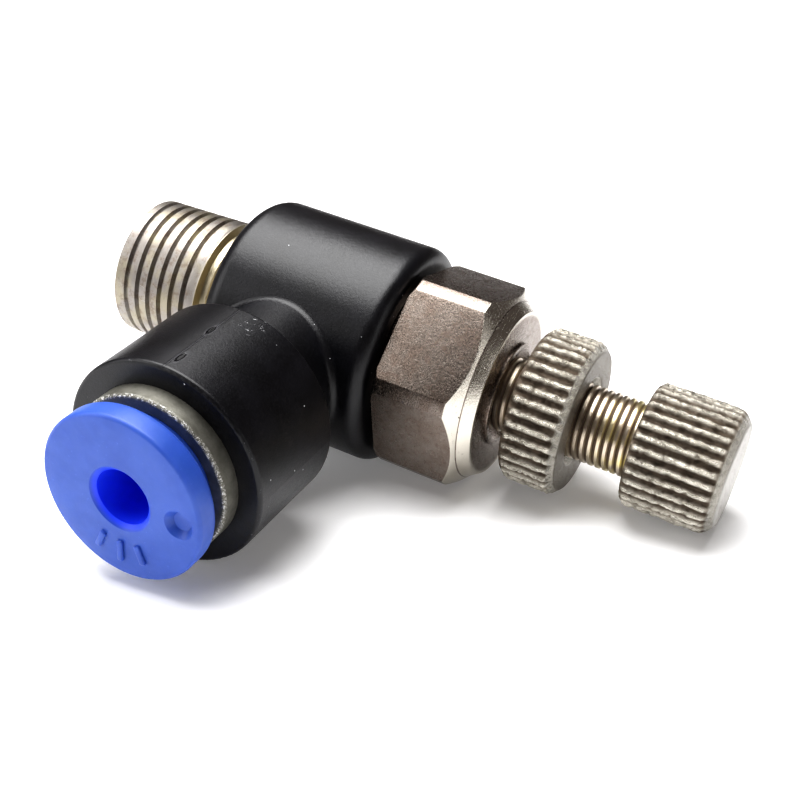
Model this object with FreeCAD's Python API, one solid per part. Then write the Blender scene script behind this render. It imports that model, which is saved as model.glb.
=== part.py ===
import FreeCAD, Part
import math
import os

# Elbow flow control valve: a metal valve stem that screws into a 1/8 in pipe port, and a moulded
# elbow that swivels on it and takes a 1/8 in tube.  Lengths are in millimetres, angles in degrees.
#
# X is the valve axis, from the port thread (-X) to the adjusting knob (+X).  The tube port points
# along -Y and Z is up.  The origin is on the valve axis at the thread's gauge plane, where a
# hand-tight port begins.  Stations on the valve axis are X; stations on the tube axis are the
# distance from the valve axis.

Vector = FreeCAD.Vector

# ---------------------------------------------------------------- clearances
running_gap = 0.05      # radial, between a turning or sliding piece and its bore
end_gap = 0.08          # axial, between faces that turn on each other
loose_gap = 0.15        # round a piece that only has to stay clear
seal_gap = 0.03         # between a squeezed seal and the wall that moves past it
spread_gap = 0.25       # radial, round the tube, of the seal and claws that it spreads

# ---------------------------------------------------------------- port thread, 1/8 in, 27 per inch
gauge_length = 4.10
thread_radius = 5.00
thread_pitch = 25.4 / 27
thread_length = 6.75
thread_lead = 0.18
thread_groove_width = 0.48
thread_groove_depth = 0.40
relief_length = 1.91
relief_step = 0.55              # the relief's depth below the thread's crest

# ---------------------------------------------------------------- elbow body
barrel_radius = 7.54
barrel_back = 5.96              # from the tube axis to the thread end of the barrel
barrel_ahead = 6.56             # from the tube axis to the hexagon end of the barrel
barrel_bore_radius = 5.50
barrel_back_round = 1.20
barrel_front_round = 1.00
bore_mouth_chamfer = 0.25
web_station = 3.10              # from the tube axis to the inner collar that holds the stem
web_thickness = 1.00
web_step = 0.85                 # how far the inner collar stands in from the bore
neck_radius = 4.77
neck_root_round = 0.50
boss_radius = 6.74
boss_back = 10.97
boss_front = 18.88
boss_edge_round = 0.25

# ---------------------------------------------------------------- air passages
flow_bore_radius = 3.00
orifice_radius = 1.10
cross_hole_radius = 1.10
cross_hole_count = 4
tube_passage_radius = 1.30
annulus_half_length = 2.70
waist_wall = 1.20

# ---------------------------------------------------------------- valve seat and check seal
seat_station = 3.40             # from the tube axis back to the seat
seat_length = 4.80
seat_wall = 0.60
seat_flange_length = 1.00
seat_slot_count = 6
seat_slot_width = 1.10
seat_end_bead = 0.30
seat_end_bead_length = 0.60
check_seal_length = 1.90

# ---------------------------------------------------------------- stem and bonnet joint
collar_length = 0.85
nose_step = 0.60                # of the nose below the stem's upper journal
gasket_thickness = 0.30

# ---------------------------------------------------------------- hexagon, 1/2 in across flats
hex_across_flats = 12.70
hex_corner_cut = 0.27           # turned off each corner
hex_face_gap = 0.27
hex_length = 6.82
hex_chamfer_angle = 40.0        # from the end face
hex_collar_inset = 0.25         # of the collar's back edge inside the flats
hex_collar_length = 0.75
hex_collar_taper = 0.50         # radial, over the collar's length
hex_back_chamfer = 0.25
hex_corner_turn = 45.0          # of one corner, from +Y towards +Z
guide_wall = 0.85
guide_seat_step = 0.30
guide_length = 2.30
guide_rim_overhang = 0.12
guide_rim_height = 0.20
guide_mouth_width = 0.60

# ---------------------------------------------------------------- needle screw, M5 x 0.5
screw_radius = 2.50
screw_pitch = 0.50
turns_to_close = 6
turns_to_open = 1
spindle_step = 0.45             # of the spindle below the thread's crest
needle_shaft_radius = 1.30
needle_tip_radius = 0.30
needle_tip_reach = 4.00         # of the tip past the tube axis, towards the port
needle_seal_land = 0.50         # spindle left below the seal's groove
needle_seal_cover = 0.28        # bore left above the seal with the valve fully open
needle_seal_width = 0.90
needle_seal_depth = 0.75        # of its groove in the spindle
clip_land = 0.40                # spindle left above the clip's groove
clip_groove_width = 0.40
clip_groove_depth = 0.40
clip_thickness = 0.34
clip_opening = 60.0
spigot_step = 0.50
spigot_length = 4.00

# ---------------------------------------------------------------- lock nut and knob
nut_gap = 1.65                  # from the hexagon's end face
nut_length = 3.75
nut_radius = 5.20
nut_face_radius = 4.68
nut_back_chamfer = 0.35
nut_front_chamfer = 0.56
nut_teeth = 38
nut_countersink_width = 0.55
nut_countersink_depth = 0.45
knob_gap = 3.95                 # from the lock nut's front face
knob_length = 5.96
knob_radius = 4.13
knob_face_radius = 3.35
knob_back_chamfer = 0.30
knob_front_chamfer = 1.00
knob_teeth = 32
knurl_depth = 0.32

# ---------------------------------------------------------------- ring seals
groove_width = 1.20
groove_depth = 0.90             # from the elbow's bore to the groove's floor
ring_seal_width = 1.00
seal_corner_share = 0.35        # corner radius of a squeezed seal, of its thinner side
lower_groove_station = -4.35    # centre, from the tube axis
upper_groove_station = 5.50

# ---------------------------------------------------------------- tube port, 1/8 in tube
tube_radius = 3.175 / 2
tube_guide_gap = 0.06
tube_stop = 8.60
packing_station = 11.60
packing_radius = 4.20
tube_seal_length = 1.50
spacer_length = 1.40
spacer_floor = 0.30
claw_sheet = 0.25
claw_root_radius = 3.15
claw_tip_drop = 1.03
claw_count = 8
claw_slot_width = 0.50
guide_ring_radius = 5.23
guide_ring_proud = 1.35         # out of the boss
guide_ring_bore_radius = 3.45
guide_ring_lip_radius = 2.95
guide_ring_lip_inset = 2.00     # from the claws to the lip
guide_ring_lip_length = 0.60
guide_ring_mouth_radius = 4.35
guide_ring_edge_round = 0.20
release_travel = 0.85
release_disc_length = 1.71
release_disc_radius = 5.45
release_disc_back_round = 0.50
release_disc_front_round = 0.28
release_bore_gap = 0.2125       # radial, round the tube
release_mouth_width = 0.24
release_mouth_depth = 0.28
release_barb_radius = 3.25
release_barb_length = 0.55
release_skirt_wall = 0.65
release_slot_width = 0.60
release_slot_count = 4

# ---------------------------------------------------------------- worked-out places on the valve axis
thread_end = -gauge_length
thread_top = thread_end + thread_length
barrel_rear = thread_top + relief_length
tube_x = barrel_rear + barrel_back
barrel_front = tube_x + barrel_ahead
web_back = tube_x + web_station
web_front = web_back + web_thickness
journal_radius = barrel_bore_radius - running_gap
groove_floor_radius = barrel_bore_radius - groove_depth
waist_radius = flow_bore_radius + waist_wall
web_bore_radius = barrel_bore_radius - web_step
web_journal_radius = web_bore_radius - running_gap
nose_radius = web_journal_radius - nose_step
skirt_back = web_front + end_gap
stem_shoulder = skirt_back - gasket_thickness
hex_back = barrel_front + hex_face_gap
hex_front = hex_back + hex_length
hex_corner_radius = hex_across_flats / math.sqrt(3) - hex_corner_cut
hex_collar_radius = hex_across_flats / 2 - hex_collar_inset
hex_end_face_radius = hex_collar_radius - hex_collar_taper
screw_bore_radius = screw_radius + running_gap
guide_radius = screw_bore_radius + guide_wall
guide_rim_radius = guide_radius + guide_rim_overhang
guide_back = hex_front - guide_length
guide_front = hex_front + guide_rim_height
bonnet_cavity_radius = guide_radius - guide_seat_step
spindle_radius = screw_radius - spindle_step
spindle_bore_radius = spindle_radius + running_gap
spigot_radius = screw_radius - spigot_step
needle_seal_floor = spindle_radius - needle_seal_depth
clip_groove_floor = spindle_radius - clip_groove_depth
chamber_radius = spindle_bore_radius + 2 * loose_gap
chamber_front = tube_x + cross_hole_radius + 4 * loose_gap
seat_x = tube_x - seat_station
seat_tube_radius = orifice_radius + seat_wall
closing_travel = turns_to_close * screw_pitch
opening_travel = turns_to_open * screw_pitch
needle_seal_back = chamber_front + closing_travel + loose_gap
needle_seal_front = needle_seal_back + needle_seal_width
nose_end = needle_seal_front + opening_travel + needle_seal_cover
clip_front = guide_back - opening_travel - end_gap
clip_back = clip_front - clip_groove_width
nut_back = hex_front + nut_gap
nut_front = nut_back + nut_length
knob_back = nut_front + knob_gap
knob_front = knob_back + knob_length

# ---------------------------------------------------------------- worked-out places on the tube axis
tube_bore_radius = tube_radius + tube_guide_gap
spread_radius = tube_radius + spread_gap
spacer_back = packing_station + tube_seal_length
claw_back = spacer_back + spacer_length
ring_seat = claw_back + claw_sheet
guide_ring_front = boss_front + guide_ring_proud
guide_ring_lip_back = ring_seat + guide_ring_lip_inset
guide_ring_lip_front = guide_ring_lip_back + guide_ring_lip_length
release_bore_radius = tube_radius + release_bore_gap
release_mouth_radius = release_bore_radius + release_mouth_width
release_neck_back = guide_ring_lip_front + release_travel + loose_gap
release_disc_back = guide_ring_front + release_travel + end_gap
release_disc_front = release_disc_back + release_disc_length
release_tip = ring_seat + release_travel - loose_gap
barb_front = guide_ring_lip_back - seal_gap
release_neck_radius = guide_ring_mouth_radius - running_gap
release_skirt_radius = guide_ring_lip_radius - running_gap


def turned(outline):
    """A solid turned about the X axis from (station, radius) corners, in order."""
    corners = [Vector(station, radius, 0) for station, radius in outline]
    face = Part.Face(Part.makePolygon(corners + corners[:1]))
    return face.revolve(Vector(0, 0, 0), Vector(1, 0, 0), 360)


def ring_edges(solid, rings):
    """The circular edges about the X axis at the given (station, radius) pairs."""
    found = []
    for edge in solid.Edges:
        curve = edge.Curve
        if not isinstance(curve, Part.Circle) or abs(curve.Axis.x) < 0.999:
            continue
        for station, radius in rings:
            if abs(curve.Center.x - station) < 1e-4 and abs(curve.Radius - radius) < 1e-4:
                found.append(edge)
    return found


def rounded(solid, size, rings):
    return solid.makeFillet(size, ring_edges(solid, rings))


def repeated(cutter, count):
    """Copies of a cutter spread evenly round the X axis."""
    copies = []
    for index in range(count):
        copy = cutter.copy()
        copy.rotate(Vector(0, 0, 0), Vector(1, 0, 0), index * 360.0 / count)
        copies.append(copy)
    return copies


def slab(back, front, inner, outer, width):
    """A radial block along +Y, for slots: from one station and radius to another."""
    return Part.makeBox(front - back, outer - inner, width, Vector(back, inner, -width / 2))


def toothed_prism(back, front, crest, depth, teeth):
    """A straight-knurled bar: V grooves with narrow crests, cut along the X axis."""
    step = 2 * math.pi / teeth
    crest_share = 0.18
    corners = []
    for tooth in range(teeth):
        for turn, radius in ((-crest_share, crest), (crest_share, crest), (0.5, crest - depth)):
            angle = (tooth + turn) * step
            corners.append(Vector(back, radius * math.cos(angle), radius * math.sin(angle)))
    face = Part.Face(Part.makePolygon(corners + corners[:1]))
    return face.extrude(Vector(front - back, 0, 0))


def ring_seal(centre, inner, outer, width):
    """A squeezed ring seal with rounded corners."""
    back = centre - width / 2
    front = centre + width / 2
    ring = turned([(back, inner), (back, outer), (front, outer), (front, inner)])
    corners = [(back, inner), (back, outer), (front, outer), (front, inner)]
    return rounded(ring, seal_corner_share * min(outer - inner, width), corners)


def at_tube_port(solid):
    """Turns a piece from the X axis to the tube axis."""
    placed = solid.copy()
    placed.rotate(Vector(0, 0, 0), Vector(0, 0, 1), -90)
    placed.translate(Vector(tube_x, 0, 0))
    return placed


def make_port_stem():
    """Threaded stem: port thread, lower journal, waist with cross holes, collar and nose."""
    outline = [(thread_end, flow_bore_radius), (thread_end, thread_radius - thread_lead)]
    crest_start = thread_end + thread_lead
    outline.append((crest_start, thread_radius))
    groove_start = crest_start + thread_pitch - thread_groove_width
    while groove_start + thread_groove_width < thread_top:
        outline.append((groove_start, thread_radius))
        outline.append((groove_start + thread_groove_width / 2, thread_radius - thread_groove_depth))
        outline.append((groove_start + thread_groove_width, thread_radius))
        groove_start += thread_pitch
    relief_radius = thread_radius - relief_step
    journal_back = barrel_rear + loose_gap
    groove_back = tube_x + lower_groove_station - groove_width / 2
    groove_front = groove_back + groove_width
    journal_front = tube_x - annulus_half_length
    collar_front = web_back - end_gap
    outline += [
        (thread_top, thread_radius), (thread_top, relief_radius),
        (journal_back, relief_radius), (journal_back, journal_radius),
        (groove_back, journal_radius), (groove_back, groove_floor_radius),
        (groove_front, groove_floor_radius), (groove_front, journal_radius),
        (journal_front, journal_radius), (journal_front, waist_radius),
        (collar_front - collar_length, waist_radius), (collar_front - collar_length, journal_radius),
        (collar_front, journal_radius), (collar_front, web_journal_radius),
        (stem_shoulder, web_journal_radius), (stem_shoulder, nose_radius),
        (nose_end, nose_radius), (nose_end, spindle_bore_radius),
        (chamber_front, spindle_bore_radius), (chamber_front, chamber_radius),
        (seat_x, chamber_radius), (seat_x, flow_bore_radius)]
    hole = Part.makeCylinder(cross_hole_radius, journal_radius, Vector(tube_x, 0, 0), Vector(0, 1, 0))
    return turned(outline).cut(repeated(hole, cross_hole_count))


def make_seat_ring():
    """Pressed-in seat: orifice tube, slotted flange for the free flow, bead under the seal."""
    back = seat_x - seat_length
    flange_back = seat_x - seat_flange_length
    bead_front = back + seat_end_bead_length
    ring = turned([
        (back, orifice_radius), (back, seat_tube_radius + seat_end_bead),
        (bead_front, seat_tube_radius + seat_end_bead), (bead_front, seat_tube_radius),
        (flange_back, seat_tube_radius), (flange_back, flow_bore_radius),
        (seat_x, flow_bore_radius), (seat_x, orifice_radius)])
    slot = slab(flange_back - loose_gap, seat_x + loose_gap, seat_tube_radius + loose_gap,
                flow_bore_radius + loose_gap, seat_slot_width)
    return ring.cut(repeated(slot, seat_slot_count))


def make_check_seal():
    """Lip seal on the seat's tube: it blocks flow from the port and folds for flow to it."""
    back = seat_x - seat_length + seat_end_bead_length + seal_gap
    front = back + check_seal_length
    lip = flow_bore_radius - seal_gap
    heel = (seat_tube_radius + lip) / 2
    return turned([
        (back + 0.30, seat_tube_radius), (back + 0.90, heel), (back, lip - 0.35), (back, lip),
        (back + 0.30, lip), (front - 0.40, heel + 0.25), (front, heel + 0.25),
        (front, seat_tube_radius)])


def make_hex_bonnet():
    """Hexagon with a skirt that screws on the stem's nose and holds the elbow."""
    chamfer_slope = math.tan(math.radians(hex_chamfer_angle))
    collar_back = hex_front - hex_collar_length
    chamfer_back = collar_back - (hex_corner_radius - hex_collar_radius) * chamfer_slope
    blank = turned([
        (hex_back, 0), (hex_back, hex_corner_radius - hex_back_chamfer),
        (hex_back + hex_back_chamfer * chamfer_slope, hex_corner_radius),
        (chamfer_back, hex_corner_radius), (collar_back, hex_collar_radius),
        (hex_front, hex_end_face_radius), (hex_front, 0)])
    sharp_corner = hex_across_flats / math.sqrt(3)
    corners = []
    for index in range(6):
        angle = math.radians(hex_corner_turn + 60 * index)
        corners.append(Vector(hex_back, sharp_corner * math.cos(angle), sharp_corner * math.sin(angle)))
    bar = Part.Face(Part.makePolygon(corners + corners[:1])).extrude(Vector(hex_length, 0, 0))
    groove_back = tube_x + upper_groove_station - groove_width / 2
    groove_front = groove_back + groove_width
    skirt = turned([
        (skirt_back, 0), (skirt_back, journal_radius), (groove_back, journal_radius),
        (groove_back, groove_floor_radius), (groove_front, groove_floor_radius),
        (groove_front, journal_radius), (hex_back, journal_radius), (hex_back, 0)])
    hollow = turned([
        (skirt_back - 1, 0), (skirt_back - 1, nose_radius), (nose_end + loose_gap, nose_radius),
        (nose_end + loose_gap, bonnet_cavity_radius), (guide_back, bonnet_cavity_radius),
        (guide_back, guide_radius), (hex_front + 1, guide_radius), (hex_front + 1, 0)])
    return blank.common(bar).fuse(skirt).cut(hollow).removeSplitter()


def make_joint_gasket():
    """Flat ring nipped between the stem's shoulder and the bonnet's skirt."""
    return turned([(stem_shoulder, nose_radius), (stem_shoulder, web_journal_radius),
                   (skirt_back, web_journal_radius), (skirt_back, nose_radius)])


def make_needle_guide():
    """Bush pressed into the hexagon; its tapped bore carries the needle screw."""
    bush = turned([
        (guide_back, screw_bore_radius), (guide_back, guide_radius), (hex_front, guide_radius),
        (hex_front, guide_rim_radius), (guide_front, guide_rim_radius),
        (guide_front, screw_bore_radius + guide_mouth_width),
        (guide_front - guide_mouth_width, screw_bore_radius)])
    return rounded(bush, guide_rim_height / 2, [(guide_front, guide_rim_radius)])


def make_needle_screw():
    """One turned piece: tapered needle, sealed spindle, adjusting thread and knob spigot."""
    tip_x = tube_x - needle_tip_reach
    seat_line = seat_x + closing_travel + loose_gap
    taper = (orifice_radius - needle_tip_radius) / (seat_line - tip_x)
    cone_front = tip_x + (needle_shaft_radius - needle_tip_radius) / taper
    spindle_back = needle_seal_back - needle_seal_land
    screw_back = clip_front + clip_land
    return turned([
        (tip_x, 0), (tip_x, needle_tip_radius), (cone_front, needle_shaft_radius),
        (spindle_back, needle_shaft_radius), (spindle_back, spindle_radius),
        (needle_seal_back, spindle_radius), (needle_seal_back, needle_seal_floor),
        (needle_seal_front, needle_seal_floor), (needle_seal_front, spindle_radius),
        (clip_back, spindle_radius), (clip_back, clip_groove_floor),
        (clip_front, clip_groove_floor), (clip_front, spindle_radius),
        (screw_back, spindle_radius), (screw_back + spindle_step, screw_radius),
        (knob_back, screw_radius), (knob_back, spigot_radius),
        (knob_back + spigot_length, spigot_radius), (knob_back + spigot_length, 0)])


def make_stop_clip():
    """Open clip in the spindle's groove; it meets the guide before the screw leaves its thread."""
    back = clip_back + (clip_groove_width - clip_thickness) / 2
    front = back + clip_thickness
    outer = bonnet_cavity_radius - loose_gap
    ring = turned([(back, clip_groove_floor), (back, outer), (front, outer), (front, clip_groove_floor)])
    reach = 2 * outer
    half = math.radians(clip_opening / 2)
    wedge = Part.Face(Part.makePolygon([
        Vector(back - 1, 0, 0), Vector(back - 1, -reach * math.sin(half), -reach * math.cos(half)),
        Vector(back - 1, reach * math.sin(half), -reach * math.cos(half)), Vector(back - 1, 0, 0)]))
    return ring.cut(wedge.extrude(Vector(clip_thickness + 2, 0, 0)))


def make_lock_nut():
    """Straight-knurled nut on the adjusting thread, countersunk on both faces."""
    blank = turned([
        (nut_back, screw_bore_radius + nut_countersink_depth),
        (nut_back, nut_radius - nut_back_chamfer),
        (nut_back + nut_back_chamfer, nut_radius), (nut_front - nut_front_chamfer, nut_radius),
        (nut_front, nut_face_radius), (nut_front, screw_bore_radius + nut_countersink_width),
        (nut_front - nut_countersink_depth, screw_bore_radius),
        (nut_back + nut_countersink_depth, screw_bore_radius)])
    return blank.common(toothed_prism(nut_back, nut_front, nut_radius, knurl_depth, nut_teeth))


def make_knob():
    """Straight-knurled knob pressed on the screw's spigot, with a blind bore."""
    blank = turned([
        (knob_back, spigot_radius), (knob_back, knob_radius - knob_back_chamfer),
        (knob_back + knob_back_chamfer, knob_radius), (knob_front - knob_front_chamfer, knob_radius),
        (knob_front, knob_face_radius), (knob_front, 0),
        (knob_back + spigot_length + loose_gap, 0),
        (knob_back + spigot_length + loose_gap, spigot_radius)])
    return blank.common(toothed_prism(knob_back, knob_front, knob_radius, knurl_depth, knob_teeth))


def is_neck_root(edge):
    """True for the curve where the neck meets the barrel."""
    for point in edge.discretize(5):
        off_neck = math.hypot(point.x - tube_x, point.z) - neck_radius
        off_barrel = math.hypot(point.y, point.z) - barrel_radius
        if abs(off_neck) > 0.01 or abs(off_barrel) > 0.01:
            return False
    return True


def make_elbow_body():
    """Moulded elbow: barrel round the stem, neck, and boss for the push-in port."""
    barrel = rounded(turned([(barrel_rear, 0), (barrel_rear, barrel_radius),
                             (barrel_front, barrel_radius), (barrel_front, 0)]),
                     barrel_back_round, [(barrel_rear, barrel_radius)])
    barrel = rounded(barrel, barrel_front_round, [(barrel_front, barrel_radius)])
    boss = turned([(0, 0), (0, neck_radius), (boss_back, neck_radius), (boss_back, boss_radius),
                   (boss_front, boss_radius), (boss_front, 0)])
    boss = rounded(boss, boss_edge_round, [(boss_back, boss_radius), (boss_front, boss_radius)])
    outside = barrel.fuse(at_tube_port(boss))
    outside = outside.makeFillet(neck_root_round, [edge for edge in outside.Edges if is_neck_root(edge)])
    bore = turned([
        (barrel_rear - 1, 0), (barrel_rear - 1, barrel_bore_radius),
        (web_back, barrel_bore_radius), (web_back, web_bore_radius),
        (web_front, web_bore_radius), (web_front, barrel_bore_radius),
        (barrel_front - bore_mouth_chamfer, barrel_bore_radius),
        (barrel_front + 1, barrel_bore_radius + bore_mouth_chamfer + 1), (barrel_front + 1, 0)])
    port = turned([
        (0, 0), (0, tube_passage_radius), (tube_stop, tube_passage_radius),
        (tube_stop, tube_bore_radius), (packing_station, tube_bore_radius),
        (packing_station, packing_radius), (ring_seat, packing_radius),
        (ring_seat, guide_ring_radius), (boss_front + 1, guide_ring_radius), (boss_front + 1, 0)])
    return outside.cut([bore, at_tube_port(port)])


def make_tube_seal():
    """Lip packing that grips the tube, its groove towards the pressure."""
    front = spacer_back
    back = packing_station
    middle = (spread_radius + packing_radius) / 2
    return turned([
        (back + 0.35, spread_radius), (back, spread_radius + 0.25), (back, middle - 0.25),
        (back + 0.70, middle), (back, middle + 0.25), (back, packing_radius),
        (front, packing_radius), (front, spread_radius + 0.15), (front - 0.35, spread_radius)])


def make_seal_spacer():
    """Cup that backs the packing and leaves room for the claws."""
    return turned([
        (spacer_back, spread_radius), (spacer_back, packing_radius), (claw_back, packing_radius),
        (claw_back, claw_root_radius + loose_gap),
        (spacer_back + spacer_floor, claw_root_radius + loose_gap),
        (spacer_back + spacer_floor, spread_radius)])


def make_collet_claws():
    """Sprung sheet ring whose teeth lean inwards and bite the tube."""
    ring = turned([
        (claw_back, packing_radius), (ring_seat, packing_radius), (ring_seat, claw_root_radius),
        (ring_seat - claw_tip_drop, spread_radius), (claw_back - claw_tip_drop, spread_radius),
        (claw_back, claw_root_radius)])
    slot = slab(claw_back - claw_tip_drop - 1, ring_seat + 1, 0, claw_root_radius, claw_slot_width)
    return ring.cut(repeated(slot, claw_count))


def make_guide_ring():
    """Metal ring pressed into the boss; its inner lip keeps the release ring in."""
    ring = turned([
        (ring_seat, guide_ring_bore_radius), (ring_seat, guide_ring_radius),
        (guide_ring_front, guide_ring_radius), (guide_ring_front, guide_ring_mouth_radius),
        (guide_ring_lip_front, guide_ring_mouth_radius), (guide_ring_lip_front, guide_ring_lip_radius),
        (guide_ring_lip_back, guide_ring_lip_radius), (guide_ring_lip_back, guide_ring_bore_radius)])
    return rounded(ring, guide_ring_edge_round, [(guide_ring_front, guide_ring_radius)])


def make_release_ring():
    """Push ring: disc, neck, and a slotted skirt with a snap-in barb."""
    barb_back = barb_front - release_barb_length
    ring = turned([
        (release_tip, release_bore_radius), (release_tip, release_bore_radius + release_skirt_wall),
        (barb_back, release_barb_radius), (barb_front, release_barb_radius),
        (barb_front, release_skirt_radius), (release_neck_back, release_skirt_radius),
        (release_neck_back, release_neck_radius), (release_disc_back, release_neck_radius),
        (release_disc_back, release_disc_radius), (release_disc_front, release_disc_radius),
        (release_disc_front, release_mouth_radius),
        (release_disc_front - release_mouth_depth, release_bore_radius)])
    ring = rounded(ring, release_disc_back_round, [(release_disc_back, release_disc_radius)])
    ring = rounded(ring, release_disc_front_round, [(release_disc_front, release_disc_radius)])
    slot = slab(release_tip - 1, release_neck_back - loose_gap, release_bore_radius - loose_gap,
                release_barb_radius + 1, release_slot_width)
    return ring.cut(repeated(slot, release_slot_count))


lower_seal = ring_seal(tube_x + lower_groove_station, groove_floor_radius,
                       barrel_bore_radius - seal_gap, ring_seal_width)
upper_seal = ring_seal(tube_x + upper_groove_station, groove_floor_radius,
                       barrel_bore_radius - seal_gap, ring_seal_width)
needle_seal = ring_seal((needle_seal_back + needle_seal_front) / 2, needle_seal_floor + seal_gap,
                        spindle_bore_radius - seal_gap, needle_seal_width - 2 * seal_gap)

pieces = {
    "port_stem": make_port_stem(),
    "seat_ring": make_seat_ring(),
    "check_seal": make_check_seal(),
    "stem_o_ring": lower_seal,
    "hex_bonnet": make_hex_bonnet(),
    "joint_gasket": make_joint_gasket(),
    "bonnet_o_ring": upper_seal,
    "needle_guide": make_needle_guide(),
    "needle_screw": make_needle_screw(),
    "needle_o_ring": needle_seal,
    "stop_clip": make_stop_clip(),
    "lock_nut": make_lock_nut(),
    "knob": make_knob(),
    "elbow_body": make_elbow_body(),
    "tube_seal": at_tube_port(make_tube_seal()),
    "seal_spacer": at_tube_port(make_seal_spacer()),
    "collet_claws": at_tube_port(make_collet_claws()),
    "guide_ring": at_tube_port(make_guide_ring()),
    "release_ring": at_tube_port(make_release_ring()),
}

os.makedirs("parts", exist_ok=True)
for name, shape in pieces.items():
    solids = shape.Solids
    print(name, "solids", len(solids), "valid", shape.isValid(), "volume", round(shape.Volume, 2))
    shape.exportStep("parts/" + name + ".step")
print("tube axis at x =", round(tube_x, 3), "overall length", round(knob_front - thread_end, 2))
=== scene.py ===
import bpy
import bmesh
import math
from mathutils import Matrix, Vector, noise


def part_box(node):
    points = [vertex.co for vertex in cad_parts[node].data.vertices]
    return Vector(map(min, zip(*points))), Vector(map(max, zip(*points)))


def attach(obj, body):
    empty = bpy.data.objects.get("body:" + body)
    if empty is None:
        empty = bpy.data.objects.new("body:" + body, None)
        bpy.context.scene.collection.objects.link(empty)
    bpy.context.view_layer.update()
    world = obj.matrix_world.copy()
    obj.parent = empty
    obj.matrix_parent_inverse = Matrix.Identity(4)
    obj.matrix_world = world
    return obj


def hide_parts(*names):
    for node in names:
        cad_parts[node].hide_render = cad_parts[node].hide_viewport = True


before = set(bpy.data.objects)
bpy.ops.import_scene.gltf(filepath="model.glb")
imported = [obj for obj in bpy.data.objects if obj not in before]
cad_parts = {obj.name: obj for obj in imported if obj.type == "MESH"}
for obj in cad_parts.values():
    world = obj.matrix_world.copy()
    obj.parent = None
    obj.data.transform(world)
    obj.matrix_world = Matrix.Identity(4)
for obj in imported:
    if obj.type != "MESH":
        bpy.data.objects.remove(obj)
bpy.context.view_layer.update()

# ------------------------------------------------------------------ table, camera and lights
# The valve lies on a white table as it comes to rest: on the barrel's front edge, the foot of the
# boss and the knob, so the table is the plane that touches all three, and glows a little.  A large
# soft light hangs overhead and two weaker ones stand at the sides, in a dim room with a white backdrop.
MM = 0.001
VALVE_AXIS = Vector((1, 0, 0))
TUBE_AXIS = Vector((0, -1, 0))
FOOT_INSET = 0.9 * MM           # of a rounded edge's lowest ring from its end face
TABLE_SIDE = 600 * MM
body_low, body_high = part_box("elbow_body")
disc_low, disc_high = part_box("release_ring")
knob_low, knob_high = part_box("knob")
tube_x = (disc_low.x + disc_high.x) / 2
boss_radius = tube_x - body_low.x

barrel_foot = (Vector((body_high.x - FOOT_INSET, 0, 0)), VALVE_AXIS, body_high.z)
knob_foot = (Vector((knob_high.x - FOOT_INSET, 0, 0)), VALVE_AXIS, knob_high.z)
boss_foot = (Vector((tube_x, body_low.y, 0)), TUBE_AXIS, boss_radius)


def lowest_point(foot, up):
    """The point of a round edge that is furthest down when up is the table's normal."""
    centre, axis, radius = foot
    across = up - axis * up.dot(axis)
    return centre - across.normalized() * radius


table_normal = Vector((0, 0, 1))
for step in range(12):          # each pass settles the three feet a little further
    a, b, c = (lowest_point(foot, table_normal) for foot in (barrel_foot, knob_foot, boss_foot))
    table_normal = (b - a).cross(c - a).normalized()
    if table_normal.z < 0:
        table_normal.negate()
table_point = lowest_point(knob_foot, table_normal)

bpy.ops.mesh.primitive_plane_add(size=TABLE_SIDE)
table = bpy.context.object
table.name = "table_top"
table.matrix_world = (Matrix.Translation(table_point)
                      @ table_normal.to_track_quat("Z", "Y").to_matrix().to_4x4())


class Wire:
    """One output of a shader node.  Sums on it add Math nodes; the rest comes from node()."""

    def __init__(self, tree, socket=None):
        self.tree = tree
        self.socket = socket

    def node(self, kind, settings, sockets, output=0):
        made = self.tree.nodes.new("ShaderNode" + kind)
        for name, value in settings.items():
            setattr(made, name, value)
        for name, value in sockets.items():
            if isinstance(value, Wire):
                self.tree.links.new(value.socket, made.inputs[name])
            else:
                made.inputs[name].default_value = value
        return Wire(self.tree, made.outputs[output] if made.outputs else None)

    def math(self, operation, first, second):
        return self.node("Math", {"operation": operation}, {0: first, 1: second})

    def __add__(self, other):
        return self.math("ADD", self, other)

    def __sub__(self, other):
        return self.math("SUBTRACT", self, other)

    def __rsub__(self, other):
        return self.math("SUBTRACT", other, self)

    def __mul__(self, other):
        return self.math("MULTIPLY", self, other)

    def __truediv__(self, other):
        return self.math("DIVIDE", self, other)

    def __pow__(self, other):
        return self.math("POWER", self, other)

    __radd__ = __add__
    __rmul__ = __mul__

    def fade(self, low, high):
        """0 below low, 1 above high, smooth between."""
        return self.node("MapRange", {"interpolation_type": "SMOOTHSTEP", "clamp": True},
                         {"Value": self, "From Min": low, "From Max": high})

    def noise(self, scale, detail=3.0, roughness=0.55):
        return self.node("TexNoise", {}, {"Vector": self, "Scale": scale, "Detail": detail,
                                          "Roughness": roughness})

    def cells(self, scale, output="Distance"):
        return self.node("TexVoronoi", {}, {"Vector": self, "Scale": scale}, output)

    def stretched(self, x, y, z):
        return self.node("VectorMath", {"operation": "MULTIPLY"}, {0: self, 1: (x, y, z)})

    def apart_from(self, point):
        """Distance from a point."""
        return self.node("VectorMath", {"operation": "DISTANCE"}, {0: self, 1: point}, "Value")

    def parts(self):
        split = self.node("SeparateXYZ", {}, {"Vector": self}).socket.node
        return [Wire(self.tree, output) for output in split.outputs]

    def blend(self, first, second):
        """A colour between two, with this as the share of the second."""
        return self.node("Mix", {"data_type": "RGBA"}, {0: self, 6: first, 7: second}, 2)

    def bump(self, depth):
        return self.node("Bump", {}, {"Height": self, "Distance": depth, "Strength": 1.0})


def colour(red, green, blue):
    return (red, green, blue, 1.0)


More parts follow.
